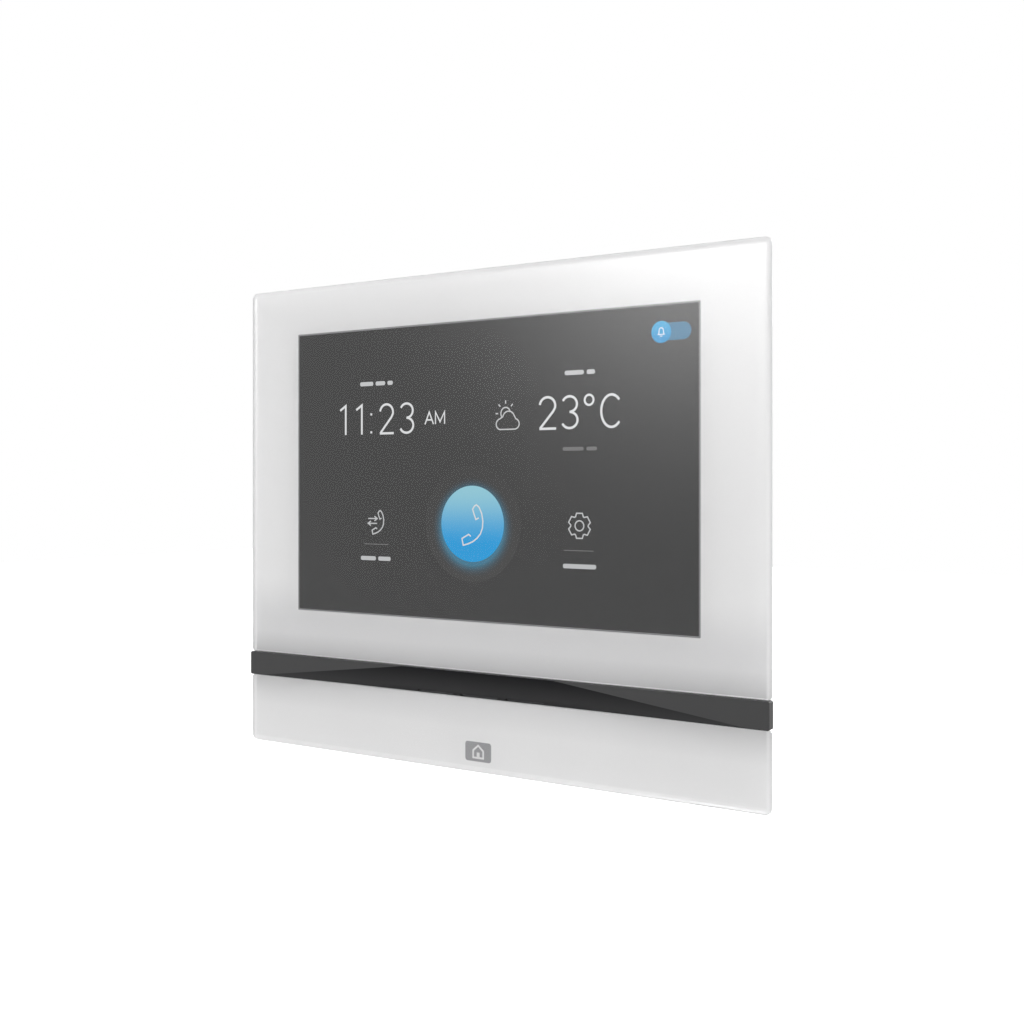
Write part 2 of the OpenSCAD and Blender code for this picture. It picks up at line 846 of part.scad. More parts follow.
module microphone_boot() {
    z0 = -frame_h / 2 + wall;
    color([0.09, 0.09, 0.09]) translate([mic_x, mic_y, z0]) difference() {
        cylinder(r = 2.6, h = 4.4);
        translate([0, 0, 1]) cylinder(r = 2, h = 5);
        translate([0, 0, -1]) cylinder(r = 0.6, h = 3);
    }
}

module microphone_leads() {
    z0 = -frame_h / 2 + wall + 3.4;
    for (x = [-0.9, 0.9]) color(x < 0 ? [0.65, 0.10, 0.10] : [0.85, 0.85, 0.85])
        translate([mic_x + x, mic_y, z0]) cylinder(r = 0.4, h = board_low + 2 - z0);
}

// ---- assembly ------------------------------------------------------------------------------

wall_bracket();
upper_glass();
lower_glass();
upper_print();
lower_print();
upper_adhesive();
lower_adhesive();
optical_bond();
touch_sensor();
display_panel();
display_backlight();
display_clamps();
clamp_screws();
front_frame();
accent_band();
acoustic_mesh();
rear_housing();
housing_screws();
rubber_bumpers();
rating_label();
main_board();
board_screws();
processor_shield();
thermal_pad();
heat_spreader();
processor();
memory_chips();
network_socket();
socket_shield();
network_contacts();
network_transformer();
power_transformer();
power_inductors();
capacitors();
terminal_header();
header_pins();
terminal_plug();
plug_screws();
display_flex();
touch_flex();
flex_connectors();
reset_switch();
reset_plunger();
reset_cap();
speaker_basket();
speaker_magnet();
speaker_pole();
speaker_top_plate();
speaker_cone();
voice_coil();
speaker_surround();
speaker_gasket();
speaker_screws();
speaker_leads();
microphone();
microphone_boot();
microphone_leads();
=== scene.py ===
import json
import math

import bmesh
import bpy
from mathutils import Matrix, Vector


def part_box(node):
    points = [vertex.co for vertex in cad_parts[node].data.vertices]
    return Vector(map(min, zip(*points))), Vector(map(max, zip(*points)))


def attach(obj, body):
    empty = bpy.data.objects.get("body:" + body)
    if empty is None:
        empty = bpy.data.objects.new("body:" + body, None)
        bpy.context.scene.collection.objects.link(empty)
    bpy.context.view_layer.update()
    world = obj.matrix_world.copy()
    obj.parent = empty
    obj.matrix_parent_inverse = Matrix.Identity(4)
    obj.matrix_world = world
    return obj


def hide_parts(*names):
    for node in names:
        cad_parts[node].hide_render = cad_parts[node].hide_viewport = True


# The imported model: every place below is worked out from its nodes' boxes
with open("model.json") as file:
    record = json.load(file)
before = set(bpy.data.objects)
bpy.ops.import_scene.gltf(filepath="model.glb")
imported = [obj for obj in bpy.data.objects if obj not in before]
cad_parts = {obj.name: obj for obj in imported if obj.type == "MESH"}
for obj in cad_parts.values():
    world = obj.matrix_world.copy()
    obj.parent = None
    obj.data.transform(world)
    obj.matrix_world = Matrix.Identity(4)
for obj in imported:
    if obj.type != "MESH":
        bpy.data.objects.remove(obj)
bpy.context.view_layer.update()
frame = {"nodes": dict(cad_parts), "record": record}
nodes = frame["nodes"]
MM = 0.001

glass_lo, glass_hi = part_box("upper_glass")
low_lo, low_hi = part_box("lower_glass")
screen_lo, screen_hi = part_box("optical_bond")
band_lo, band_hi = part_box("accent_band")
FRONT = glass_lo.y                       # front face of the glass
BACK = glass_hi.y                        # back face of the glass, where the print is
BOND = 0.03 * MM                         # how far prints and picture are pressed into the glass
# Window of the print, a little wider than the lit area
WIN = (screen_lo.x - 0.1 * MM, screen_hi.x + 0.45 * MM, screen_lo.z - 0.4 * MM, screen_hi.z + 0.15 * MM)
INK = BACK - BOND                        # the plane that the print and the picture are seen at
TAU = 2 * math.pi
PANEL_GLOSS = (0.12, 0.435)              # roughness and specular level of the display behind the glass
BLACK = (0.0, 0.0, 0.0)


# ---- node materials -----------------------------------------------------------------------

class Mat:
    """A procedural material around one Principled shader, in object space (millimetres)."""

    def __init__(self, name, colour, rough, metallic=0.0, coat=0.0, spec=0.5):
        self.m = bpy.data.materials.new(name)
        self.m.use_nodes = True
        self.t = self.m.node_tree
        self.b = self.t.nodes["Principled BSDF"]
        self.set("Base Color", (*colour, 1))
        self.set("Roughness", rough)
        self.set("Metallic", metallic)
        self.set("Coat Weight", coat)
        self.set("Coat Roughness", 0.08)
        self.set("Specular IOR Level", spec)
        self.coord = self.node("ShaderNodeTexCoord").outputs["Object"]

    def node(self, kind, **settings):
        n = self.t.nodes.new(kind)
        for key, value in settings.items():
            setattr(n, key, value)
        return n

    def set(self, socket, value):
        self.b.inputs[socket].default_value = value

    def link(self, out, into):
        self.t.links.new(out, into)

    def mapped(self, scale):
        """Object coordinates times scale, where scale is per millimetre."""
        n = self.node("ShaderNodeMapping")
        n.inputs["Scale"].default_value = tuple(s / MM for s in scale)
        self.link(self.coord, n.inputs["Vector"])
        return n.outputs["Vector"]

    def noise(self, scale, detail=3.0):
        n = self.node("ShaderNodeTexNoise")
        n.inputs["Scale"].default_value = 1.0
        n.inputs["Detail"].default_value = detail
        self.link(self.mapped(scale), n.inputs["Vector"])
        return n.outputs["Fac"]

    def ramp(self, fac, low, high):
        """Maps a 0 to 1 value to the range low to high."""
        n = self.node("ShaderNodeMapRange")
        n.inputs["To Min"].default_value = low
        n.inputs["To Max"].default_value = high
        self.link(fac, n.inputs["Value"])
        return n.outputs["Result"]

    def axis(self, name, low, high, smooth=True):
        """0 to 1 along an object axis between two places, in metres."""
        split = self.node("ShaderNodeSeparateXYZ")
        self.link(self.coord, split.inputs[0])
        n = self.node("ShaderNodeMapRange", interpolation_type="SMOOTHSTEP" if smooth else "LINEAR")
        n.inputs["From Min"].default_value = low
        n.inputs["From Max"].default_value = high
        self.link(split.outputs[name], n.inputs["Value"])
        return n.outputs["Result"]

    def power(self, value, exponent):
        n = self.node("ShaderNodeMath", operation="POWER")
        self.link(value, n.inputs[0])
        n.inputs[1].default_value = exponent
        return n.outputs[0]

    def mix(self, fac, a, b, blend="MIX"):
        """A colour between a and b, each a colour or a socket."""
        n = self.node("ShaderNodeMix", data_type="RGBA", blend_type=blend)
        for index, value in ((6, a), (7, b)):
            if isinstance(value, tuple):
                n.inputs[index].default_value = (*value, 1)
            else:
                self.link(value, n.inputs[index])
        if isinstance(fac, float):
            n.inputs[0].default_value = fac
        else:
            self.link(fac, n.inputs[0])
        return n.outputs[2]

    def combine(self, operation, a, b):
        """The result of a math operation on two sockets."""
        n = self.node("ShaderNodeMath", operation=operation)
        self.link(a, n.inputs[0])
        self.link(b, n.inputs[1])
        return n.outputs[0]

    def times(self, colour, factor):
        """A colour socket multiplied by a number socket."""
        grey = self.node("ShaderNodeCombineColor")
        for i in range(3):
            self.link(factor, grey.inputs[i])
        return self.mix(1.0, colour, grey.outputs[0], blend="MULTIPLY")

    def colour(self, socket):
        self.link(socket, self.b.inputs["Base Color"])

    def mottle(self, colour, share, scale):
        """Slight unevenness of the colour."""
        low = tuple(c * (1 - share) for c in colour)
        high = tuple(min(1, c * (1 + share)) for c in colour)
        self.colour(self.mix(self.noise(scale), low, high))

    def edge_mask(self, full, none):
        """1 within full millimetres of the glass front's four outer edges, 0 beyond none."""
        edges = [self.axis(name, side * (half - none * MM), side * (half - full * MM))
                 for name, half in (("X", glass_hi.x), ("Z", glass_hi.z)) for side in (1, -1)]
        mask = edges[0]
        for edge in edges[1:]:
            mask = self.combine("MAXIMUM", mask, edge)
        return mask

    def roughness(self, scale, low, high):
        self.link(self.ramp(self.noise(scale), low, high), self.b.inputs["Roughness"])

    def bump(self, height, distance):
        """Surface relief from a 0 to 1 height, distance millimetres deep."""
        n = self.node("ShaderNodeBump")
        n.inputs["Distance"].default_value = distance * MM
        n.inputs["Strength"].default_value = 1.0
        self.link(height, n.inputs["Height"])
        self.link(n.outputs["Normal"], self.b.inputs["Normal"])


def plastic(name, colour, rough=0.5, grain=4.0, depth=0.02):
    """Moulded plastic with a fine spark-eroded grain."""
    mat = Mat(name, colour, rough)
    mat.mottle(colour, 0.06, (0.05, 0.05, 0.05))
    mat.roughness((0.4, 0.4, 0.4), rough - 0.06, rough + 0.06)
    mat.bump(mat.noise((grain, grain, grain), detail=2.0), depth)
    return mat.m


def metal(name, colour, rough=0.35, brushed=(0.2, 0.2, 6.0), depth=0.006):
    """Sheet or turned metal with fine drawn lines along one axis."""
    mat = Mat(name, colour, rough, metallic=1.0)
    mat.mottle(colour, 0.05, (0.08, 0.08, 0.08))
    mat.roughness(brushed, rough - 0.1, rough + 0.12)
    mat.bump(mat.noise(brushed, detail=4.0), depth)
    return mat.m


def rubber(name, colour, rough=0.75):
    """Matt rubber or tape with a soft uneven surface."""
    mat = Mat(name, colour, rough, spec=0.3)
    mat.mottle(colour, 0.1, (0.3, 0.3, 0.3))
    mat.roughness((2.0, 2.0, 2.0), rough - 0.08, rough + 0.08)
    mat.bump(mat.noise((3.0, 3.0, 3.0)), 0.03)
    return mat.m


WEAVE_PITCH = 0.35                       # millimetres from thread to thread
WAVE_LENGTH = 0.31                       # a wave texture of scale 1 repeats about this often


def woven(name, colour):
    """Fine square weave of acoustic cloth."""
    mat = Mat(name, colour, 0.85, spec=0.2)
    waves = []
    for direction in ("X", "Z"):
        w = mat.node("ShaderNodeTexWave", bands_direction=direction)
        w.inputs["Scale"].default_value = 1.0
        mat.link(mat.mapped((WAVE_LENGTH / WEAVE_PITCH,) * 3), w.inputs["Vector"])
        waves.append(w.outputs["Fac"])
    threads = mat.combine("MAXIMUM", *waves)
    mat.colour(mat.mix(threads, tuple(c * 0.4 for c in colour), colour))
    mat.bump(threads, 0.08)
    return mat.m


def circuit(name):
    """Green solder mask over copper tracks that show faintly through it."""
    mat = Mat(name, (0.02, 0.16, 0.08), 0.3, coat=0.4)
    turn = mat.node("ShaderNodeMapping")
    turn.inputs["Rotation"].default_value = (math.radians(90), 0, 0)
    turn.inputs["Scale"].default_value = (1 / MM,) * 3
    mat.link(mat.coord, turn.inputs["Vector"])
    layers = []
    for width, height, gap, shift in ((23.0, 0.8, 0.13, 0.37), (5.5, 7.0, 0.12, 0.61)):
        brick = mat.node("ShaderNodeTexBrick", offset=shift, offset_frequency=3, squash=1.7,
                         squash_frequency=5)
        brick.inputs["Scale"].default_value = 1.0
        brick.inputs["Mortar Size"].default_value = gap
        brick.inputs["Brick Width"].default_value = width
        brick.inputs["Row Height"].default_value = height
        mat.link(turn.outputs["Vector"], brick.inputs["Vector"])
        layers.append(brick.outputs["Fac"])
    # tracks run in bundles, with bare areas between them
    bundles = []
    for lines, scale in zip(layers, ((0.05, 0.05, 0.12), (0.16, 0.05, 0.07))):
        area_mask = mat.node("ShaderNodeMapRange")
        area_mask.inputs["From Min"].default_value = 0.5
        area_mask.inputs["From Max"].default_value = 0.52
        mat.link(mat.noise(scale, detail=0.0), area_mask.inputs["Value"])
        bundles.append(mat.combine("MULTIPLY", lines, area_mask.outputs["Result"]))
    tracks = mat.combine("MAXIMUM", *bundles)
    mat.colour(mat.mix(tracks, (0.010, 0.095, 0.045), (0.016, 0.15, 0.07)))
    mat.bump(tracks, 0.02)
    return mat.m


def enamel(name):
    """White ceramic print with painted light: painted shade greys it towards the band, and painted highlights
    brighten a line just above the band and a strip along the rim.
    """
    mat = Mat(name, (0.87, 0.87, 0.87), 0.35, coat=1.0)
    mat.set("Coat Roughness", 0.12)
    # painted shade: the print is painted greyer towards the band, above the band and below it
    near = mat.power(mat.axis("Z", band_hi.z, band_hi.z + 7.5 * MM, smooth=False), 0.7)
    far = mat.axis("Z", screen_lo.z - 5 * MM, screen_lo.z + 12 * MM)
    below = mat.power(mat.axis("Z", band_lo.z, band_lo.z - 10 * MM, smooth=False), 0.65)
    side = mat.axis("Z", band_lo.z - 0.1 * MM, band_lo.z, smooth=False)
    upper = mat.mix(far, mat.mix(near, (0.56, 0.56, 0.565), (0.77, 0.77, 0.775)), (0.90, 0.90, 0.90))
    lower = mat.mix(below, (0.69, 0.69, 0.695), (0.875, 0.875, 0.875))
    # painted highlight: a brighter line just above the band
    lip_highlight = mat.axis("Z", band_hi.z + 0.6 * MM, band_hi.z + 0.3 * MM)
    upper = mat.mix(lip_highlight, upper, (0.95, 0.95, 0.955))
    # painted highlight: a brighter strip along the glass front's outer edges
    rim = mat.edge_mask(1.5, 2.1)
    tone = mat.mix(mat.ramp(rim, 0.0, 0.75), mat.mix(side, lower, upper), (0.95, 0.95, 0.95))
    cloud = mat.ramp(mat.noise((0.03, 0.03, 0.03), detail=2.0), 0.985, 1.01)
    mat.colour(mat.times(tone, cloud))
    mat.bump(mat.noise((6.0, 6.0, 6.0)), 0.004)
    return mat.m


def band_black(name):
    """Dark band with painted shade: its scooped faces look down into the shade, are painted darker, most of all
    towards the band's top, and mirror less light than the rest; its end faces are painted darker too.
    """
    mat = Mat(name, (0.03, 0.03, 0.031), 0.42)
    split = mat.node("ShaderNodeSeparateXYZ")
    mat.link(mat.node("ShaderNodeTexCoord").outputs["Normal"], split.inputs[0])
    shade = mat.node("ShaderNodeMapRange", interpolation_type="SMOOTHSTEP")
    shade.inputs["From Min"].default_value = -0.02
    shade.inputs["From Max"].default_value = -0.05
    mat.link(split.outputs["Z"], shade.inputs["Value"])
    ends = mat.node("ShaderNodeMath", operation="ABSOLUTE")
    mat.link(split.outputs["X"], ends.inputs[0])
    # painted shade: the downward scooped faces are painted darker towards the band's top
    up = mat.axis("Z", band_lo.z, band_hi.z, smooth=False)
    scoop_shade = mat.mix(up, (0.030, 0.030, 0.031), (0.002, 0.002, 0.003))
    plain = mat.mix(mat.noise((0.05, 0.05, 0.05)), (0.022, 0.022, 0.023), (0.026, 0.026, 0.026))
    front = mat.mix(shade.outputs["Result"], plain, scoop_shade)
    # painted shade: the band's end faces, which face sideways, are painted darker
    end_face_shade = mat.ramp(mat.power(ends.outputs[0], 4.0), 0.0, 0.6)
    mat.colour(mat.mix(end_face_shade, front, (0.004, 0.004, 0.004)))
    mat.link(mat.ramp(shade.outputs["Result"], 0.42, 0.10), mat.b.inputs["Specular IOR Level"])
    mat.roughness((0.4, 0.4, 0.4), 0.36, 0.46)
    mat.bump(mat.noise((5.0, 5.0, 5.0), detail=2.0), 0.01)
    return mat.m


def clear_glass(name):
    """Low-iron glass: it bends sight, and lets lamps through so that the print behind it is lit.

    Its own mirror is off (black tint); the gloss is on the print and the display behind it.
    """
    mat = Mat(name, (0.995, 1.0, 0.998), 0.0)
    mat.set("Specular Tint", (*BLACK, 1))
    mat.set("Transmission Weight", 1.0)
    mat.set("IOR", 1.5)
    # painted shade: the glass is painted greyer along its outer edges
    rim = mat.edge_mask(0.1, 0.6)
    cloud = mat.mix(mat.noise((0.02, 0.02, 0.02)), (0.992, 0.990, 0.992), (0.998, 0.996, 0.998))
    mat.colour(mat.mix(rim, cloud, (0.84, 0.845, 0.85)))
    out = mat.t.nodes["Material Output"]
    path = mat.node("ShaderNodeLightPath")
    clear = mat.node("ShaderNodeBsdfTransparent")
    clear.inputs["Color"].default_value = (0.985, 0.982, 0.985, 1)
    mixer = mat.node("ShaderNodeMixShader")
    mat.link(path.outputs["Is Shadow Ray"], mixer.inputs[0])
    mat.link(mat.b.outputs[0], mixer.inputs[1])
    mat.link(clear.outputs[0], mixer.inputs[2])
    mat.link(mixer.outputs[0], out.inputs["Surface"])
    return mat.m


DOT_SHARE = 0.004                        # how much the panel's fine dots vary in brightness


def lit(name, low, high, z0, z1, strength):
    """Part of the lit picture: a colour that changes from z0 up to z1, with the panel's fine dots."""
    mat = Mat(name, BLACK, PANEL_GLOSS[0], spec=PANEL_GLOSS[1])
    tone = mat.mix(mat.axis("Z", z0, z1), low, high)
    dots = mat.ramp(mat.noise((8.0, 8.0, 8.0), detail=1.0), 1 - DOT_SHARE, 1 + DOT_SHARE)
    mat.link(mat.times(tone, dots), mat.b.inputs["Emission Color"])
    mat.set("Emission Strength", strength)
    return mat.m


MATERIALS = {
    "housing_plastic": plastic("housing_plastic", (0.045, 0.045, 0.05), 0.55, grain=2.5, depth=0.05),
    "band_plastic": band_black("band_plastic"),
    "black_plastic": plastic("black_plastic", (0.03, 0.03, 0.03), 0.5),
    "grey_plastic": plastic("grey_plastic", (0.12, 0.12, 0.125), 0.45),
    "light_plastic": plastic("light_plastic", (0.7, 0.7, 0.68), 0.4),
    "terminal_green": plastic("terminal_green", (0.03, 0.25, 0.1), 0.42),
    "connector_ivory": plastic("connector_ivory", (0.75, 0.72, 0.62), 0.45),
    "chip_black": plastic("chip_black", (0.03, 0.03, 0.03), 0.6, grain=6.0, depth=0.02),
    "ferrite": plastic("ferrite", (0.06, 0.06, 0.06), 0.65, grain=3.0, depth=0.05),
    "capacitor_sleeve": plastic("capacitor_sleeve", (0.05, 0.07, 0.14), 0.3, depth=0.005),
    "flex_orange": plastic("flex_orange", (0.6, 0.27, 0.05), 0.3, depth=0.004),
    "label_paper": plastic("label_paper", (0.75, 0.75, 0.73), 0.6, grain=8.0, depth=0.008),
    "cone_paper": plastic("cone_paper", (0.04, 0.04, 0.045), 0.7, grain=2.0, depth=0.06),
    "wire_insulation": plastic("wire_insulation", (0.35, 0.03, 0.03), 0.35, depth=0.004),
    "tape": rubber("tape", (0.03, 0.03, 0.03)),
    "soft_rubber": rubber("soft_rubber", (0.02, 0.02, 0.02)),
    "pad_blue": rubber("pad_blue", (0.3, 0.4, 0.55), 0.6),
    "zinc_steel": metal("zinc_steel", (0.40, 0.41, 0.425), 0.42, brushed=(0.15, 0.15, 4.0)),
    "pressed_steel": metal("pressed_steel", (0.62, 0.63, 0.64), 0.32, brushed=(3.0, 0.2, 0.1)),
    "screw_steel": metal("screw_steel", (0.5, 0.5, 0.5), 0.3, brushed=(2.0, 0.4, 2.0)),
    "aluminium_plate": metal("aluminium_plate", (0.75, 0.76, 0.77), 0.35),
    "contact_gold": metal("contact_gold", (0.83, 0.62, 0.25), 0.22),
    "tin": metal("tin", (0.72, 0.71, 0.68), 0.33),
    "copper": metal("copper", (0.65, 0.32, 0.15), 0.3, brushed=(0.3, 8.0, 0.3), depth=0.05),
    "mesh_cloth": woven("mesh_cloth", (0.05, 0.05, 0.05)),
    "board": circuit("board"),
    "white_print": enamel("white_print"),
    "clear_glass": clear_glass("clear_glass"),
    "optical_gel": plastic("optical_gel", (0.05, 0.05, 0.055), 0.2, depth=0.002),
    "sensor_glass": plastic("sensor_glass", (0.1, 0.12, 0.13), 0.1, depth=0.002),
    "display_black": plastic("display_black", (0.05, 0.05, 0.055), 0.2, depth=0.002),
}

SLOT_OF = {s["node"]: s["material_slot"] for s in frame["record"]["subparts"]}
for name, obj in nodes.items():
    for place in obj.material_slots:
        place.material = MATERIALS[SLOT_OF[name]]
    if not obj.material_slots:
        obj.data.materials.append(MATERIALS[SLOT_OF[name]])


# ---- mesh helpers -------------------------------------------------------------------------

def mesh_object(name, bm):
    """Turns a bmesh into an object of the scene."""
    mesh = bpy.data.meshes.new(name)
    bm.to_mesh(mesh)
    bm.free()
    obj = bpy.data.objects.new(name, mesh)
    bpy.context.scene.collection.objects.link(obj)
    return obj


def piece(name, bm, material, body="unit", replaces=(), smooth=None):
    """Makes an object of a bmesh and lets it ride on its body."""
    bmesh.ops.recalc_face_normals(bm, faces=bm.faces)
    obj = mesh_object(name, bm)
    obj.data.materials.append(material)
    if smooth is not None:
        obj.data.shade_smooth()
        obj.data.set_sharp_from_angle(angle=math.radians(smooth))
    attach(obj, body)
    if replaces:
        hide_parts(*replaces)
    return obj


BEVEL_STEPS = 3
FLAT_ANGLE = 0.5                         # degrees; facets that differ by less are merged
LOOSE = 0.001                            # mm; points that the bevel leaves this close are merged


def refine(node, width, angle=25, weld=0.002, crease=35):
    """A piece with the CAD node's own shape and softened edges, which replaces that node.

    width and weld are in millimetres; edges sharper than angle are softened, and edges sharper than
    crease keep a sharp shade (both in degrees).
    """
    bm = bmesh.new()
    bm.from_mesh(nodes[node].data)
    bmesh.ops.remove_doubles(bm, verts=bm.verts, dist=weld * MM)
    bmesh.ops.dissolve_limit(bm, angle_limit=math.radians(FLAT_ANGLE), verts=bm.verts, edges=bm.edges)
    obj = mesh_object(node + "_fine", bm)
    mesh = obj.data
    bevel = obj.modifiers.new("edges", "BEVEL")
    bevel.width = width * MM
    bevel.segments = BEVEL_STEPS
    bevel.limit_method = "ANGLE"
    bevel.angle_limit = math.radians(angle)
    bevel.use_clamp_overlap = True
    mesh.materials.append(MATERIALS[SLOT_OF[node]])
    bpy.context.view_layer.objects.active = obj
    mesh.shade_smooth()
    bpy.ops.object.select_all(action="DESELECT")
    obj.select_set(True)
    bpy.ops.object.modifier_apply(modifier="edges")
    bm = bmesh.new()
    bm.from_mesh(mesh)
    bmesh.ops.remove_doubles(bm, verts=bm.verts, dist=LOOSE * MM)
    bm.to_mesh(mesh)
    bm.free()
    mesh.set_sharp_from_angle(angle=math.radians(crease))
    flat = obj.modifiers.new("flat", "WEIGHTED_NORMAL")
    flat.mode = "FACE_AREA"
    flat.weight = 100
    flat.keep_sharp = True
    bpy.ops.object.modifier_apply(modifier="flat")
    body = next(b for b, members in frame["record"]["behaviour"]["bodies"].items() if node in members)
    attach(obj, body)
    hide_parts(node)


def rounded_outline(x0, x1, z0, z1, corners, inset=0.0, steps=10):
    """Points of a rectangle with corner radii (lower left, lower right, upper right, upper left)."""
    places = ((x0, z0, 180), (x1, z0, 270), (x1, z1, 0), (x0, z1, 90))
    points = []
    for (x, z, start), r in zip(places, corners):
        sx = 1 if x == x0 else -1
        sz = 1 if z == z0 else -1
        keep = max(r - inset, 0.02 * MM)
        cx = x + sx * (inset + keep)
        cz = z + sz * (inset + keep)
        for i in range(steps + 1):
            a = math.radians(start + 90 * i / steps)
            points.append((cx + keep * math.cos(a), cz + keep * math.sin(a)))
    return points


def bridge(bm, rings):
    """Adds the faces between neighbouring rings, which have the same number of points."""
    for a, b in zip(rings, rings[1:]):
        for i in range(len(a)):
            j = (i + 1) % len(a)
            bm.faces.new((a[i], a[j], b[j], b[i]))


def pane(name, lo, hi, corners, node, low_share, top_share):
    """A glass pane with rounded edges; each share scales the rounding of its bottom or top edge."""
    wide, deep = 1.7 * MM, 1.35 * MM     # of the front edge's rounding
    back = hi.y - lo.y - deep            # radius of the back edge's rounding
    profile = [(1.05 * wide, 0.0)]
    for i in range(13):
        a = math.radians(7.5 * i)
        profile.append((wide * (1 - math.sin(a)), deep * (1 - math.cos(a))))
    for i in range(1, 8):
        a = math.radians(90 * i / 7)
        profile.append((back * (1 - math.cos(a)), deep + back * math.sin(a)))
    profile.append((1.05 * wide, deep + back))
    bm = bmesh.new()
    rings = []
    for inset, depth in profile:
        low = [max(r - inset, 0.25 * MM) for r in corners]
        outline = rounded_outline(lo.x + inset, hi.x - inset, lo.z + inset * low_share,
                                  hi.z - inset * top_share, low)
        rings.append([bm.verts.new((x, lo.y + depth, z)) for x, z in outline])
    bridge(bm, rings)
    for ring in (rings[0], rings[-1]):
        bm.faces.new(ring)
    obj = piece(name, bm, MATERIALS["clear_glass"], replaces=(node,), smooth=60)


def plate(bm, outline, y0, y1):
    """Adds a closed plate with an x-z outline to a bmesh."""
    front = [bm.verts.new((x, y0, z)) for x, z in outline]
    back = [bm.verts.new((x, y1, z)) for x, z in outline]
    bm.faces.new(front)
    bm.faces.new(back[::-1])
    for i in range(len(outline)):
        j = (i + 1) % len(outline)
        bm.faces.new((front[i], back[i], back[j], front[j]))


def frame_plate(bm, outer, inner, y0, y1):
    """Adds a closed plate with a window; both outlines have the same number of points."""
    rings = []
    for outline, y in ((outer, y0), (inner, y0), (inner, y1), (outer, y1)):
        rings.append([bm.verts.new((x, y, z)) for x, z in outline])
    bridge(bm, rings + rings[:1])


# ---- glass, prints and band ---------------------------------------------------------------

SHARP = 1.1 * MM                         # corner radius next to the band
ROUND = 2.2 * MM                         # corner radius at the outer corners
WIN_R = 0.3 * MM                         # corner radius of the window in the print
pane("upper_glass_pane", glass_lo, glass_hi, (SHARP, SHARP, ROUND, ROUND), "upper_glass", 0.25, 1)
pane("lower_glass_pane", low_lo, low_hi, (ROUND, ROUND, SHARP, SHARP), "lower_glass", 1, 0.25)

up_lo, up_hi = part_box("upper_print")
dn_lo, dn_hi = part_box("lower_print")
PRINT_R = 0.9 * MM

bm = bmesh.new()
outer = rounded_outline(up_lo.x, up_hi.x, up_lo.z, up_hi.z, (PRINT_R,) * 4)
inner = rounded_outline(*WIN, (WIN_R,) * 4)
frame_plate(bm, outer, inner, INK, up_hi.y)
piece("upper_white_print", bm, MATERIALS["white_print"], replaces=("upper_print",))

bm = bmesh.new()
plate(bm, rounded_outline(dn_lo.x, dn_hi.x, dn_lo.z, dn_hi.z, (PRINT_R,) * 4), INK, dn_hi.y)
piece("lower_white_print", bm, MATERIALS["white_print"], replaces=("lower_print",))

refine("accent_band", 0.15, angle=30, weld=0.02, crease=0.3)
for node, width in (("rear_housing", 0.35), ("front_frame", 0.35), ("wall_bracket", 0.2),
                    ("housing_screws", 0.12), ("rubber_bumpers", 0.5), ("rating_label", 0.05),
                    ("terminal_plug", 0.2), ("terminal_header", 0.2), ("reset_cap", 0.3),
                    ("network_socket", 0.2), ("socket_shield", 0.1)):
    refine(node, width)


# ---- the lit picture ----------------------------------------------------------------------

# Picture places are in millimetres from the centre of the glass front: x to the right, z up.
# The layers are given by the y of their front and back; each lies in front of the one before it.
LAYER = {"back": (INK, screen_hi.y), "glow": (INK - 0.02 * MM, INK),
         "mark": (INK - 0.05 * MM, INK - 0.02 * MM), "top": (INK - 0.08 * MM, INK - 0.05 * MM)}
SCREEN_Z0 = screen_lo.z
SCREEN_Z1 = screen_hi.z


def disc_outline(x, z, r, steps=72):
    return [((x + r * math.cos(TAU * i / steps)) * MM, (z + r * math.sin(TAU * i / steps)) * MM)
            for i in range(steps)]


def arc(x, z, rx, rz, start, end, steps=18):
    """Points along an arc, in degrees from +x towards +z."""
    return [(x + rx * math.cos(math.radians(start + (end - start) * i / steps)),
             z + rz * math.sin(math.radians(start + (end - start) * i / steps))) for i in range(steps + 1)]


SAME = 1e-4                              # mm; points closer than this count as one
LEAST_COSINE = 0.35                      # limits how far a sharp bend reaches out


def stroke(bm, points, width, layer, closed=False):
    """Adds a flat ribbon of even width along points; closed joins its ends to a ring."""
    clean = [points[0]]
    for p in points[1:]:
        if math.dist(p, clean[-1]) > SAME:
            clean.append(p)
    if closed and math.dist(clean[0], clean[-1]) < SAME:
        clean.pop()
    n = len(clean)
    left, right = [], []
    for i, p in enumerate(clean):
        before = clean[i - 1] if (closed or i > 0) else None
        after = clean[(i + 1) % n] if (closed or i < n - 1) else None
        dirs = []
        for a, b in ((before, p), (p, after)):
            if a is not None and b is not None:
                d = math.dist(a, b)
                dirs.append(((b[0] - a[0]) / d, (b[1] - a[1]) / d))
        tx = sum(d[0] for d in dirs) / len(dirs)
        tz = sum(d[1] for d in dirs) / len(dirs)
        size = math.hypot(tx, tz) or 1.0
        tx, tz = tx / size, tz / size
        cosine = max(LEAST_COSINE, tx * dirs[0][0] + tz * dirs[0][1])
        half = width / 2 / cosine
        left.append(((p[0] - tz * half) * MM, (p[1] + tx * half) * MM))
        right.append(((p[0] + tz * half) * MM, (p[1] - tx * half) * MM))
    y0, y1 = LAYER[layer]
    if closed:
        frame_plate(bm, left, right, y0, y1)
        return
    sides = [[bm.verts.new((x, y, z)) for x, z in line] for line, y in
             ((left, y0), (right, y0), (right, y1), (left, y1))]
    for a, b in zip(sides, sides[1:] + sides[:1]):
        for i in range(n - 1):
            bm.faces.new((a[i], a[i + 1], b[i + 1], b[i]))
    bm.faces.new([s[0] for s in sides])
    bm.faces.new([s[-1] for s in sides][::-1])


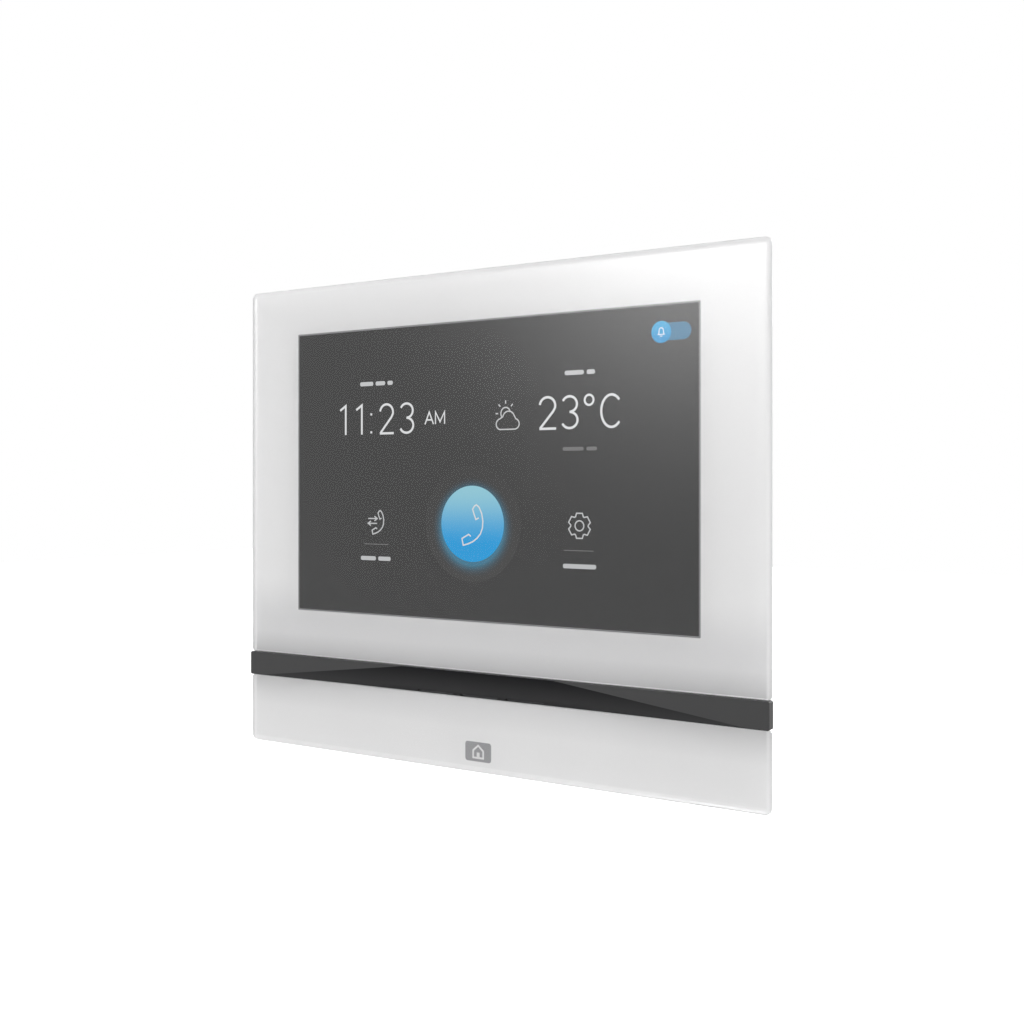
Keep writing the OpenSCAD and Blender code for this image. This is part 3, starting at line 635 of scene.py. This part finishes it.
def bar(bm, x0, x1, z, height):
    """A short rounded bar that stands for a word."""
    r = height / 2 * 0.8
    plate(bm, rounded_outline(x0 * MM, x1 * MM, (z - height / 2) * MM, (z + height / 2) * MM,
                              (r * MM,) * 4, steps=4), *LAYER["mark"])


WORD_GAP = 1.0


def words(bm, x, z, height, lengths):
    """A row of bars centred on x, one for each word."""
    total = sum(lengths) + WORD_GAP * (len(lengths) - 1)
    at = x - total / 2
    for length in lengths:
        bar(bm, at, at + length, z, height)
        at += length + WORD_GAP


# Width and strokes of each sign on a grid one unit high; x runs from 0 to the sign's width
SIGNS = {
    "1": (0.36, [[(0.0, 0.83), (0.27, 0.98), (0.27, 0.0)]]),
    "2": (0.60, [arc(0.30, 0.715, 0.27, 0.265, 172, -12, 16) + [(0.50, 0.545), (0.04, 0.03)],
                 [(0.02, 0.02), (0.60, 0.02)]]),
    "3": (0.58, [arc(0.28, 0.745, 0.255, 0.235, 155, -90, 18),
                 arc(0.28, 0.265, 0.275, 0.245, 90, -155, 18)]),
    ":": (0.08, [[(0.04, 0.70), (0.04, 0.63)], [(0.04, 0.10), (0.04, 0.03)]]),
    "C": (0.68, [arc(0.36, 0.5, 0.34, 0.48, 42, 318, 30)]),
    "A": (0.72, [[(0.0, 0.0), (0.36, 1.0), (0.72, 0.0)], [(0.13, 0.36), (0.59, 0.36)]]),
    "M": (0.86, [[(0.0, 0.0), (0.0, 1.0), (0.43, 0.18), (0.86, 1.0), (0.86, 0.0)]]),
}


def sign(bm, char, x, z, height, width, weight):
    """One sign with its lower left corner at x, z, stretched to width."""
    natural, strokes = SIGNS[char]
    for points in strokes:
        stroke(bm, [(x + px / natural * width, z + pz * height) for px, pz in points], weight, "mark")


THIN = 0.74                              # line width of the large digits, in millimetres
HAIR = 0.46                              # line width of the small letters
SYMBOL = HAIR * 0.85                     # line width of the menu symbols
SHIFT = -0.2                             # added to every x: seen through the glass, things move right
NIGHT = (0.0345, 0.0345, 0.0345)

white = lit("picture_white", (0.80, 0.81, 0.82), (0.88, 0.89, 0.90), SCREEN_Z0, SCREEN_Z1, 0.78)
soft_white = lit("picture_soft_white", (0.62, 0.63, 0.64), (0.70, 0.71, 0.72), SCREEN_Z0, SCREEN_Z1, 0.75)
dim_grey = lit("picture_dim_grey", (0.17, 0.17, 0.17), (0.22, 0.22, 0.22), SCREEN_Z0, SCREEN_Z1, 0.75)

# background of the picture
bm = bmesh.new()
plate(bm, rounded_outline(*WIN, (WIN_R,) * 4), *LAYER["back"])
night = lit("picture_background", NIGHT, NIGHT, SCREEN_Z0, SCREEN_Z1, 1.0)
piece("picture_background", bm, night, replaces=("optical_bond",))

# thin grey surround of the lit area
bm = bmesh.new()
edge = 0.5 * MM                          # width of the surround
outer = rounded_outline(*WIN, (WIN_R,) * 4)
inner = rounded_outline(WIN[0] + edge, WIN[1] - edge, WIN[2] + edge, WIN[3] - edge, (0.2 * MM,) * 4)
frame_plate(bm, outer, inner, *LAYER["glow"])
border = lit("picture_border", (0.20, 0.20, 0.205), (0.24, 0.24, 0.245), SCREEN_Z0, SCREEN_Z1, 1.0)
piece("picture_border", bm, border)

# clock and temperature: each sign with its left edge and width
CLOCK = (("1", -56.3, 3.2), ("1", -49.3, 3.2), (":", -43.3, 0.9), ("2", -39.4, 6.0), ("3", -30.9, 5.8))
HALF_OF_DAY = (("A", -20.6, 3.4), ("M", -16.4, 3.6))
TEMPERATURE = (("2", 22.6, 6.1), ("3", 30.6, 5.8), ("C", 44.0, 6.9))
LARGE = (27.9, 9.9, THIN)                # base line, height and line width
SMALL = (30.6, 3.9, HAIR)
bm = bmesh.new()
for row, (base, tall, weight) in ((CLOCK, LARGE), (HALF_OF_DAY, SMALL), (TEMPERATURE, LARGE)):
    for char, x, w in row:
        sign(bm, char, x + SHIFT, base, tall, w, weight)
degree = (40.1 + SHIFT, 36.3, 1.5, 1.5)  # centre and radii of the degree ring
stroke(bm, arc(*degree, 0, 360, 28), THIN * 0.9, "mark", closed=True)
piece("clock_and_temperature", bm, white)


def gear(bm, x, z, r_out, r_in, teeth, weight):
    """Outline of a cog and its hole; a tooth's corners are at shares of the pitch from its middle."""
    points = []
    for i in range(teeth):
        mid = TAU * i / teeth + math.pi / 2
        for offset, r in ((-0.38, r_in), (-0.22, r_out), (0.22, r_out), (0.38, r_in)):
            a = mid + offset * TAU / teeth * 1.15
            points.append((x + r * math.cos(a), z + r * math.sin(a)))
    stroke(bm, points, weight, "mark", closed=True)
    stroke(bm, arc(x, z, 1.5, 1.5, 0, 360, 28), weight, "mark", closed=True)


def handset(bm, x, z, size, weight, layer):
    """Line drawing of a telephone handset: a bowed grip that hooks in at both ends."""
    line = [(0.31, 0.16), (0.22, 0.12), (0.17, 0.24), (0.12, 0.38), (0.18, 0.46), (0.24, 0.49), (0.32, 0.43),
            (0.40, 0.27), (0.435, 0.08), (0.42, -0.10), (0.36, -0.24), (0.26, -0.35), (0.13, -0.44),
            (-0.02, -0.50), (-0.17, -0.54), (-0.21, -0.37), (0.0, -0.26), (0.065, -0.31)]
    stroke(bm, [(x + size * px, z + size * pz) for px, pz in line], weight, layer)


MENU_Z = -1.0                            # height of the symbols, and of the lines of words:
TITLE_Z = 44.6
UPDATE_Z = 21.9
UNDERLINE_Z = -8.4
MENU_NAME_Z = -13.1
WORD = 1.35                              # height of a bar that stands for a word
SMALL_WORD = 1.1

# sun and cloud, call list and settings symbols
bm = bmesh.new()
sx, sz = 10.7 + SHIFT, 33.0
cloud = (arc(sx - 1.75, sz - 3.1, 1.95, 1.75, 250, 105, 12) + arc(sx + 0.9, sz - 1.35, 2.2, 2.2, 165, 20, 14)
         + arc(sx + 2.9, sz - 3.1, 1.9, 1.65, 70, -80, 12))
stroke(bm, cloud, SYMBOL, "mark", closed=True)
stroke(bm, arc(sx - 0.2, sz + 0.2, 1.75, 1.85, 215, 20, 16), SYMBOL, "mark")
for a in (45, 90, 135, 180):
    c, s = math.cos(math.radians(a)), math.sin(math.radians(a))
    stroke(bm, [(sx - 0.2 + 2.8 * c, sz + 0.2 + 3.0 * s), (sx - 0.2 + 3.7 * c, sz + 0.2 + 4.0 * s)],
           SYMBOL, "mark")
gear(bm, 36.8 + SHIFT, MENU_Z, 3.85, 3.0, 6, SYMBOL)
handset(bm, -40.9 + SHIFT, MENU_Z, 7.6, HAIR * 0.9, "mark")
for x, z, d in ((-40.3, 0.05, 1), (-44.2, -1.55, -1)):        # the two arrows: tip and direction
    tip = x + SHIFT
    stroke(bm, [(tip - 3.8 * d, z), (tip, z)], SYMBOL, "mark")
    stroke(bm, [(tip - 1.2 * d, z + 0.75), (tip, z), (tip - 1.2 * d, z - 0.75)], SYMBOL, "mark")
piece("menu_symbols", bm, soft_white)

# bars that stand for the words
bm = bmesh.new()
words(bm, -40.7 + SHIFT, TITLE_Z, WORD, (5.6, 4.0, 2.2))
words(bm, 36.9 + SHIFT, TITLE_Z, WORD, (6.6, 2.8))
words(bm, -41.0 + SHIFT, MENU_NAME_Z, WORD, (6.4, 5.2))
words(bm, 36.8 + SHIFT, MENU_NAME_Z, WORD, (11.4,))
piece("word_bars", bm, soft_white)
bm = bmesh.new()
words(bm, 36.9 + SHIFT, UPDATE_Z, SMALL_WORD, (7.2, 3.6))
for x in (-40.7, 36.5):
    stroke(bm, [(x - 5.1 + SHIFT, UNDERLINE_Z), (x + 5.1 + SHIFT, UNDERLINE_Z)], 0.28, "mark")
piece("faint_bars", bm, dim_grey)


FIELD_HALF = 18                          # mm; half the height over which the even field changes


def glow(name, x, z, r_in, r_out, colour, field):
    """Blue light that fades outwards from r_in to r_out around a point, on a faint even field."""
    mat = Mat(name, BLACK, PANEL_GLOSS[0], spec=PANEL_GLOSS[1])
    far = mat.node("ShaderNodeVectorMath", operation="DISTANCE")
    mat.link(mat.coord, far.inputs[0])
    far.inputs[1].default_value = (x * MM, LAYER["glow"][0], z * MM)
    near = mat.node("ShaderNodeMapRange")
    near.inputs["From Min"].default_value = r_out * MM
    near.inputs["From Max"].default_value = r_in * MM
    mat.link(far.outputs["Value"], near.inputs["Value"])
    light = mat.mix(mat.power(near.outputs["Result"], 3.0), BLACK, colour)
    low, high = (tuple(n + f for n in NIGHT) for f in field)
    base = mat.mix(mat.axis("Z", (z - FIELD_HALF) * MM, (z + FIELD_HALF) * MM), low, high)
    mat.link(mat.mix(1.0, base, light, blend="ADD"), mat.b.inputs["Emission Color"])
    mat.set("Emission Strength", 1.0)
    return mat.m


# the round call symbol
CALL = (-2.1 + SHIFT, -1.05)
CALL_R = 11.95
GLOW_R = 18.3
ROUND_STEPS = 128
bm = bmesh.new()
plate(bm, disc_outline(*CALL, GLOW_R, ROUND_STEPS), *LAYER["glow"])
piece("call_glow", bm, glow("picture_glow", CALL[0], CALL[1] - 1.1, CALL_R, 16.5, (0.0, 0.12, 0.205),
                            (0.011, 0.003)))
bm = bmesh.new()
plate(bm, disc_outline(*CALL, CALL_R, ROUND_STEPS), *LAYER["mark"])
blue = lit("picture_blue", (0.008, 0.31, 0.67), (0.27, 0.56, 0.66), (CALL[1] - 0.6 * CALL_R) * MM,
           (CALL[1] + CALL_R) * MM, 0.95)
piece("call_disc", bm, blue)
bm = bmesh.new()
handset(bm, CALL[0] - 1.3, CALL[1] - 0.1, 12.4, HAIR * 0.95, "top")
piece("call_symbol", bm, white)

# the switch at the top right
TRACK = (61.2 + SHIFT, 73.2 + SHIFT)     # left and right end
TRACK_Z = 54.8
TRACK_HALF = 2.5
KNOB_X = 63.8 + SHIFT
bm = bmesh.new()
plate(bm, rounded_outline(TRACK[0] * MM, TRACK[1] * MM, (TRACK_Z - TRACK_HALF) * MM,
                          (TRACK_Z + TRACK_HALF) * MM, (2.48 * MM,) * 4), *LAYER["glow"])
track_blue = lit("picture_track", (0.042, 0.16, 0.275), (0.042, 0.17, 0.29), SCREEN_Z0, SCREEN_Z1, 1.0)
piece("switch_track", bm, track_blue)
bm = bmesh.new()
plate(bm, disc_outline(KNOB_X, TRACK_Z, 3.15), *LAYER["mark"])
piece("switch_knob", bm, lit("picture_knob", (0.01, 0.26, 0.54), (0.035, 0.35, 0.61), (TRACK_Z - 3) * MM,
                             (TRACK_Z + 3) * MM, 1.0))
bm = bmesh.new()
bx, bz = KNOB_X, TRACK_Z
bell = [(bx - 1.0, bz - 0.7), (bx - 0.7, bz - 0.3)] + arc(bx, bz + 0.35, 0.7, 0.85, 180, 0, 12)
bell += [(bx + 0.7, bz - 0.3), (bx + 1.0, bz - 0.7)]
BELL_LINE = 0.22
stroke(bm, bell, BELL_LINE, "top", closed=True)
stroke(bm, arc(bx, bz - 0.95, 0.36, 0.3, 200, 340, 8), BELL_LINE, "top")
BRIGHT = (0.9, 0.95, 1.0)
piece("bell_symbol", bm, lit("picture_bright", BRIGHT, BRIGHT, SCREEN_Z0, SCREEN_Z1, 0.9))

# a small plain house mark on the lower pane, printed behind the glass
hx, hz = 0.0, -72.3
LAYER["print"] = (INK - 0.02 * MM, INK)
LAYER["over_print"] = (INK - 0.04 * MM, INK - 0.02 * MM)
bm = bmesh.new()
plate(bm, rounded_outline((hx - 4.9) * MM, (hx + 4.9) * MM, (hz - 3.05) * MM, (hz + 3.05) * MM, (0.9 * MM,) * 4),
      *LAYER["print"])
piece("mark_plate", bm, plastic("mark_grey", (0.36, 0.36, 0.37), 0.4, depth=0.002))
bm = bmesh.new()
house = [(hx - 1.9, hz - 1.9), (hx + 1.9, hz - 1.9), (hx + 1.9, hz + 0.35), (hx, hz + 1.95),
         (hx - 1.9, hz + 0.35)]
stroke(bm, house, 0.6, "over_print", closed=True)
stroke(bm, [(hx, hz - 1.7), (hx, hz - 0.2)], 1.1, "over_print")
piece("house_mark", bm, plastic("mark_white", (0.8, 0.8, 0.8), 0.4, depth=0.002))


# ---- stage, light and camera --------------------------------------------------------------

def stage_plane(name, corners, material):
    """A flat piece of scenery."""
    bm = bmesh.new()
    bm.faces.new([bm.verts.new(c) for c in corners])
    obj = mesh_object(name, bm)
    obj.data.materials.append(material)


FLOOR_HALF = 6
FLOOR_Z = -0.42
floor_mat = Mat("pale_floor", (0.93, 0.93, 0.93), 0.7, spec=0.1)
floor_mat.mottle((0.93, 0.93, 0.93), 0.01, (0.01, 0.01, 0.01))
floor_mat.set("Emission Color", (1, 1, 1, 1))
floor_mat.link(floor_mat.node("ShaderNodeLightPath").outputs["Is Camera Ray"],
               floor_mat.b.inputs["Emission Strength"])
FLOOR_CORNERS = ((-1, -1), (1, -1), (1, 1), (-1, 1))
stage_plane("floor", [(x * FLOOR_HALF, y * FLOOR_HALF, FLOOR_Z) for x, y in FLOOR_CORNERS], floor_mat.m)

world = bpy.data.worlds.new("studio")
bpy.context.scene.world = world
world.use_nodes = True
tree = world.node_tree


def sky_node(kind, operation=None, **values):
    """A node of the world; _1=x sets its input number 1 to x."""
    n = tree.nodes.new(kind)
    if operation:
        n.operation = operation
    for key, value in values.items():
        n.inputs[int(key[1:])].default_value = value
    return n


def chain(*steps):
    """Links each node's first output into the next one's first input."""
    for a, b in zip(steps, steps[1:]):
        tree.links.new(a.outputs[0], b.inputs[0])


# White for the eye; for lighting, an even tent with one soft lamp that the glass mirrors at its upper right
AZ, EL, SPREAD = math.radians(-24.6), math.radians(12.5), math.radians(16.9)
LAMP_GAIN, LAMP_FALL, TENT = 11.9, 2.47, 0.92    # lamp's strength and fall-off, tent's strength
toward = (math.sin(AZ) * math.cos(EL), -math.cos(AZ) * math.cos(EL), math.sin(EL))
aim = sky_node("ShaderNodeVectorMath", "DOT_PRODUCT", _1=toward)
angle = sky_node("ShaderNodeMath", "ARCCOSINE")
fall = sky_node("ShaderNodeMapRange", _1=0.0, _2=SPREAD, _3=1.0, _4=0.0)
curve = sky_node("ShaderNodeMath", "POWER", _1=LAMP_FALL)
lamp = sky_node("ShaderNodeMath", "MULTIPLY_ADD", _1=LAMP_GAIN, _2=TENT)
tree.links.new(tree.nodes.new("ShaderNodeTexCoord").outputs["Generated"], aim.inputs[0])
tree.links.new(aim.outputs["Value"], angle.inputs[0])
chain(angle, fall, curve, lamp)
eye = tree.nodes.new("ShaderNodeLightPath")
pick = tree.nodes.new("ShaderNodeMix")
pick.inputs[3].default_value = 1.0
tree.links.new(eye.outputs["Is Camera Ray"], pick.inputs[0])
tree.links.new(lamp.outputs[0], pick.inputs[2])
tree.links.new(pick.outputs[0], tree.nodes["Background"].inputs["Color"])


def area(name, place, target, size, power):
    """A square area lamp that points at target."""
    light = bpy.data.lights.new(name, "AREA")
    light.energy = power
    light.size = size
    obj = bpy.data.objects.new(name, light)
    bpy.context.scene.collection.objects.link(obj)
    obj.location = place
    obj.rotation_euler = (Vector(target) - Vector(place)).to_track_quat("-Z", "Y").to_euler()


area("top_box", (-0.25, -0.35, 1.3), (0.0, 0.0, 0.0), 0.9, 5)
area("back_box", (0.75, 1.3, 0.7), (0.0, 0.0, 0.0), 0.9, 10)

# Place, lens and shift were solved from the photo's corners
CAMERA_YAW = math.radians(33.34)
CAMERA_PLACE = (0.2292, FRONT - 0.328, 0.0111)
CAMERA_LENS = 45.1
CAMERA_SHIFT = -0.0263
camera = bpy.data.cameras.new("camera")
camera.lens = CAMERA_LENS
camera.sensor_width = 36
camera.shift_y = CAMERA_SHIFT
camera.clip_start = 0.01
view = bpy.data.objects.new("camera", camera)
bpy.context.scene.collection.objects.link(view)
view.location = CAMERA_PLACE
view.rotation_euler = (math.radians(90), 0, CAMERA_YAW)
bpy.context.scene.camera = view
bpy.context.scene.view_settings.view_transform = "Standard"
